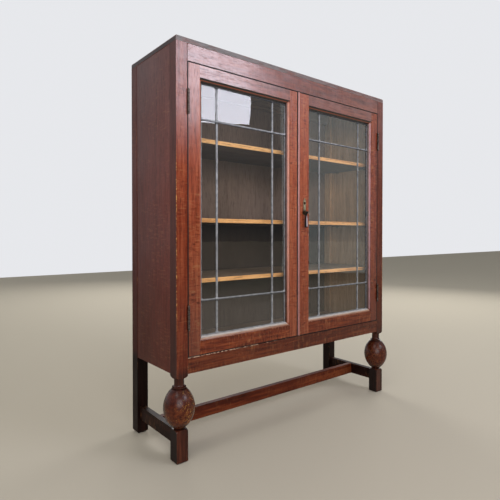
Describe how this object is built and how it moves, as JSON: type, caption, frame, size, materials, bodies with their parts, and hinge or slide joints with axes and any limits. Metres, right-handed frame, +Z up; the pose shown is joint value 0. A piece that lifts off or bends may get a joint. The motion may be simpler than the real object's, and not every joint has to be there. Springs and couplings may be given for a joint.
{
  "type": "bookcase with glass doors",
  "caption": "Stained oak bookcase on bulbous turned front legs with stretchers, a pair of hinged leaded glass doors, open shelving inside and a drop pull with lock.",
  "frame": {"origin": "on the floor, under the middle of the whole object's box, bulbs included", "axes": "+X to the viewer's right, +Y to the back, +Z up"},
  "size_m": [0.966, 0.3005, 1.14],
  "materials": {
    "stained_oak": "satin polish",
    "inner_wood": "stained, matt",
    "plywood": "stained, matt",
    "shelf_oak": "satin",
    "lead": "dull grey",
    "clear_glass": "clear",
    "aged_brass": "tarnished",
    "dark_brass": "bronzed",
    "screw_steel": "dull"
  },
  "bodies": {
    "carcase": {"front_post_left": "stained_oak", "front_post_right": "stained_oak", "rear_post_left": "stained_oak", "rear_post_right": "stained_oak", "top_board": "stained_oak", "frieze_rail": "stained_oak", "apron_rail": "stained_oak", "side_panel_left": "stained_oak", "side_panel_right": "stained_oak", "side_stretcher_left": "stained_oak", "side_stretcher_right": "stained_oak", "centre_stretcher": "stained_oak", "door_stop": "stained_oak", "rear_top_rail": "inner_wood", "rear_bottom_rail": "inner_wood", "bottom_board": "inner_wood", "bottom_bearers": "inner_wood", "top_glue_blocks": "inner_wood", "back_panel": "plywood", "shelf_upper": "shelf_oak", "shelf_middle": "shelf_oak", "shelf_lower": "shelf_oak", "left_hinge_post_leaves": "aged_brass", "right_hinge_post_leaves": "aged_brass", "left_hinge_pins": "aged_brass", "right_hinge_pins": "aged_brass", "shelf_pegs": "aged_brass", "hinge_post_screws": "screw_steel"},
    "left_door": {"left_door_hinge_stile": "stained_oak", "left_door_meeting_stile": "stained_oak", "left_door_top_rail": "stained_oak", "left_door_bottom_rail": "stained_oak", "left_door_glazing_beads": "stained_oak", "left_door_panes": "clear_glass", "left_door_cames": "lead", "left_hinge_door_leaves": "aged_brass", "left_door_bolt_plates": "aged_brass", "lock_strike_plate": "aged_brass", "left_hinge_door_screws": "screw_steel", "left_door_bolt_screws": "screw_steel"},
    "right_door": {"right_door_hinge_stile": "stained_oak", "right_door_meeting_stile": "stained_oak", "right_door_top_rail": "stained_oak", "right_door_bottom_rail": "stained_oak", "right_door_glazing_beads": "stained_oak", "right_door_meeting_bead": "stained_oak", "right_door_panes": "clear_glass", "right_door_cames": "lead", "right_hinge_door_leaves": "aged_brass", "handle_plate": "aged_brass", "handle_pin": "aged_brass", "lock_case": "aged_brass", "right_hinge_door_screws": "screw_steel", "lock_screws": "screw_steel"},
    "drop_handle": {"drop_handle": "dark_brass"},
    "lock_bolt": {"lock_bolt": "aged_brass"},
    "upper_bolt": {"upper_bolt": "aged_brass"},
    "lower_bolt": {"lower_bolt": "aged_brass"}
  },
  "joints": [
    {"name": "left_door_hinge", "type": "hinge", "parent": "carcase", "child": "left_door", "pos_m": [-0.42175, -0.12825, 0.68], "axis": [0, 0, -1], "range_deg": [0, 170]},
    {"name": "right_door_hinge", "type": "hinge", "parent": "carcase", "child": "right_door", "pos_m": [0.42175, -0.12825, 0.68], "axis": [0, 0, 1], "range_deg": [0, 170]},
    {"name": "drop_handle_swing", "type": "hinge", "parent": "right_door", "child": "drop_handle", "pos_m": [0.023, -0.13325, 0.686], "axis": [-1, 0, 0], "range_deg": [0, 90]},
    {"name": "lock_bolt_throw", "type": "slide", "parent": "right_door", "child": "lock_bolt", "axis": [-1, 0, 0], "range_m": [0, 0.007]},
    {"name": "upper_bolt_slide", "type": "slide", "parent": "left_door", "child": "upper_bolt", "axis": [0, 0, 1], "range_m": [0, 0.013]},
    {"name": "lower_bolt_slide", "type": "slide", "parent": "left_door", "child": "lower_bolt", "axis": [0, 0, -1], "range_m": [0, 0.013]}
  ]
}
